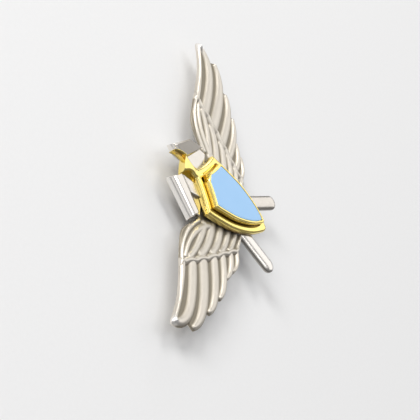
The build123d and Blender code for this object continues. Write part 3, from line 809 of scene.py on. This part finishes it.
def bar(top_end, foot, width, lift, shine=0.0):
    """Strip between two places with a round section and a round foot.

    It rises by lift towards the foot, and shine is how far its colour goes to bright silver, a painted
    highlight."""
    top_end, foot = np.array(top_end, float), np.array(foot, float)
    along = (foot - top_end) / np.linalg.norm(foot - top_end)
    across = np.array([-along[1], along[0]])
    turn = np.linspace(-math.pi / 2, math.pi / 2, 25)[:, None]
    half = width / 2
    end = foot + half * (np.cos(turn) - 1) * along + half * np.sin(turn) * across
    sides = np.linspace(0, 1, 24)[1:, None]
    near, far = top_end - across * half, top_end + across * half
    outline = np.vstack([end, end[-1] + (far - end[-1]) * sides, near + (end[0] - near) * sides[:-1]])
    arc = np.linspace(0, ARC_END, 9)
    steps = np.r_[0, (1 - np.cos(arc)) * half]
    climb = np.r_[0, WALL_SHARE + (1 - WALL_SHARE) * np.sin(arc)]
    heights = CARRIER_FRONT + (BAR_TOP - CARRIER_FRONT) * climb
    points, faces = carried(facing_left(outline), np.stack([steps, heights], -1))
    reach = (points[:, :2] - top_end) @ along / np.linalg.norm(foot - top_end)
    marks = np.repeat(BAR_SHADE, len(points) // len(steps))
    points[:, 2] += lift * np.clip(reach * 1.6 - 0.6, 0, 1) ** 1.3
    return points, faces, {"hollow": marks, "bright": np.clip(shine * (1 - marks), 0, 1)}


right_points, right_faces, right_marks = bar((-1.2, -3.6), (10.1, -22.85), 3.4, 0.9)
make_piece("bar_right", right_points, right_faces, POLISHED, stands_for=["bar_right_foot"],
           marks=right_marks)
# painted highlight along the left bar, through shine
left_points, left_faces, left_marks = bar((1.2, -3.6), (-8.8, -22.85), 3.9, 1.2, 0.45)
make_piece("bar_left", left_points, left_faces, POLISHED, stands_for=["bar_left_foot"],
           marks=left_marks)

# %% [markdown]
# ## The crest
# A gold block with a waist stands on the shield's shoulders and flares to a shelf. From the
# shelf a plume curls over to one side: a trough with two bright edges that ends in a point.
# It could be sculpted, but two bows for its rims and one formula for its hollow give the same
# form and stay easy to change: half a sine wave across it, and the hollow fills up towards the
# tip as the cube of the way there.

# %% Plume
CREST_TOP, SHELF = level("crest"), 10.2
HOLLOW_DEPTH = 0.75


def plume(rows=60, columns=19):
    """Trough between two bows that meet in the tip: both rims high, the middle hollow, a flat back."""
    outer = bow((2.3, SHELF - 0.5), (2.65, 13.4), (0.0, 14.68), rows)
    inner = bow((0.3, SHELF - 0.5), (0.95, 12.3), (-0.02, 14.66), rows)
    share = np.linspace(0, 1, columns)[None, :, None]
    flat = outer[:, None] * (1 - share) + inner[:, None] * share
    reach = np.linspace(0, 1, rows)[:, None]
    hollow = np.sin(math.pi * share[..., 0]) ** 0.8 * (1 - reach**3)
    round_off = 0.25 * (np.abs(2 * share[..., 0] - 1) ** 10)
    top = CREST_TOP - 0.05 - HOLLOW_DEPTH * hollow - round_off - 0.25 * reach**2
    low = np.full_like(top, FRAME_LOW + 0.7) + 0.2 * reach**2
    around = np.concatenate([np.dstack([flat, top]), np.dstack([flat, low])[:, ::-1]], axis=1)
    # painted shade in the trough, and on the plume's back
    marks = np.concatenate([hollow * np.ones_like(top), np.full_like(top, 0.5)], axis=1)
    return around.reshape(-1, 3), turned_over(tube_faces(*around.shape[:2])), marks.ravel()


plume_points, plume_faces, plume_hollow = plume()
print("plume points:", len(plume_points))

# %% [markdown]
# The block's section is a rounded arch: powers of the sine and cosine below one make it fuller
# than a half circle. A flat tongue behind it holds it to the carrier.

# %% Crest
WAIST = [(1.15, 5.2, -0.4), (1.05, 6.3, -0.35), (0.85, 7.4, -0.12), (1.25, 8.6, -0.02),
         (2.2, 9.9, -0.02), (2.35, SHELF, -0.02)]  # half width, height up the badge, drop
TONGUE = np.array([(-1.75, 0.5), (1.75, 0.5), (1.75, 9.0), (-1.75, 9.0)])


def crest_base(rows=40, columns=25):
    """Waisted block: rows run up it, columns over it, and it sinks into the frame at its foot."""
    spine = through(WAIST, rows)
    wide, y, drop = spine[:, :1], spine[:, 1:2], spine[:, 2:]
    turn = np.linspace(-math.pi / 2, math.pi / 2, columns)[None, :]
    across = np.sign(np.sin(turn)) * np.abs(np.sin(turn)) ** 0.5
    round_top = np.abs(np.cos(turn)) ** 0.4
    x = wide * across
    z = FRAME_LOW + (CREST_TOP + drop - FRAME_LOW) * round_top
    y = y + 0.35 * (1 - across**2) * np.linspace(0, 1, rows)[:, None] ** 4
    points = np.stack([x, y + 0 * x, z], -1)
    # painted shade on the block's low sides
    marks = np.clip(0.9 - 1.6 * round_top, 0, 0.15) + np.zeros((rows, 1))
    return points.reshape(-1, 3), tube_faces(rows, columns), marks.ravel()


base_points, base_faces, base_marks = crest_base()
tongue_points, tongue_faces = carried(TONGUE, [(0, CARRIER_FRONT), (0, FRAME_LOW - 0.1),
                                               (0.1, FRAME_LOW)])
crest_points, crest_faces = joined((base_points, base_faces), (tongue_points, tongue_faces),
                                   (plume_points, plume_faces))
# painted shade on the block's sides, the tongue and the plume's trough
crest_shade = np.r_[base_marks, np.full(len(tongue_points), 0.3), plume_hollow]
make_piece("gold_crest", crest_points, crest_faces, GOLD, stands_for=["crest"],
           marks={"hollow": crest_shade}, crease=40)

# %% [markdown]
# ## Floor, lights and camera
# The badge lies on pale card, which is one large square so that its edges stay out of sight.

# %% Floor
HALF_SIDE = 1.6  # metres


def card_finish():
    """Matt card: a fine grain in its colour and in its surface."""
    f = Finish("pale_card")
    fibres = f.grain(1.2, detail=4)
    colour = f.colours(fibres, (0.80, 0.80, 0.80), (0.83, 0.83, 0.83))
    return f.skin(bump=fibres, depth=0.01, Base_Color=colour, Roughness=0.75)


floor_mesh = bpy.data.meshes.new("card")
around = [(-1, -1), (1, -1), (1, 1), (-1, 1)]
floor_mesh.from_pydata([(HALF_SIDE * x, HALF_SIDE * y, 0) for x, y in around], [], [(0, 1, 2, 3)])
floor_mesh.materials.append(card_finish())
floor = bpy.data.objects.new("card", floor_mesh)
bpy.context.scene.collection.objects.link(floor)
print("floor side, m:", 2 * HALF_SIDE)

# %% [markdown]
# Two small windows throw the shadows: the stronger one stands low on the crest's side and casts
# them to the camera's right. Larger cards and a ceiling are there for the bevels to mirror. Each
# lamp is a square that faces the badge, and a weak grey-blue room fills what they leave dark.

# %% Lights
LAMPS = [  # name, place and side in metres, power in watts, colour
    ("window", (0.74, 0.40, 0.92), 0.55, 4.4, (1.0, 0.985, 0.96)),
    ("ceiling", (-0.16, 0.39, 1.23), 1.1, 1.4, (1, 1, 1)),
    ("side card", (0.90, -0.93, 0.82), 1.1, 4.2, (1, 1, 1)),
    ("overhead", (0.26, -0.16, 1.15), 0.4, 1.6, (1, 1, 1)),
    ("front card", (-0.40, 0.92, 0.68), 0.8, 2.4, (1, 1, 1)),
    ("left window", (0.30, 1.05, 0.58), 0.45, 9.0, (1, 1, 1)),
    ("low sky", (1.25, -0.05, 0.36), 0.35, 1.6, (1, 1, 1)),
]


def lamp(name, place, size, power, colour):
    """Square soft lamp, tipped and turned so that it faces the origin."""
    light = bpy.data.lights.new(name, "AREA")
    light.shape, light.size, light.energy, light.color = "SQUARE", size, power, colour
    holder = bpy.data.objects.new(name, light)
    bpy.context.scene.collection.objects.link(holder)
    x, y, z = place
    holder.location = place
    holder.rotation_euler = (math.atan2(math.hypot(x, y), z), 0, math.atan2(-y, -x) - math.pi / 2)


for row in LAMPS:
    lamp(*row)
print("lamps:", len(LAMPS), "watts:", round(sum(row[3] for row in LAMPS), 1))
world = bpy.data.worlds.new("room")
world.use_nodes = True
world.node_tree.nodes["Background"].inputs["Color"].default_value = (0.9, 0.9, 0.92, 1)
world.node_tree.nodes["Background"].inputs["Strength"].default_value = 0.25
bpy.context.scene.world = world

# %% [markdown]
# The camera looks down on the badge from the crest's side and from the left, so close that the
# near wing looks larger than the far one. The plain view transform keeps the shaders' colours.

# %% Camera
camera_data = bpy.data.cameras.new("camera")
camera_data.sensor_width = 36.0
camera_data.lens = 125.0
camera_data.clip_start, camera_data.clip_end = 0.01, 10.0
camera = bpy.data.objects.new("camera", camera_data)
bpy.context.scene.collection.objects.link(camera)
camera.location = (-0.18723, 0.19482, 0.17161)
camera.rotation_euler = (0.545505, -0.896228, -1.471098)
bpy.context.scene.camera = camera
bpy.context.scene.view_settings.view_transform = "Standard"
print("lens, mm:", camera_data.lens)
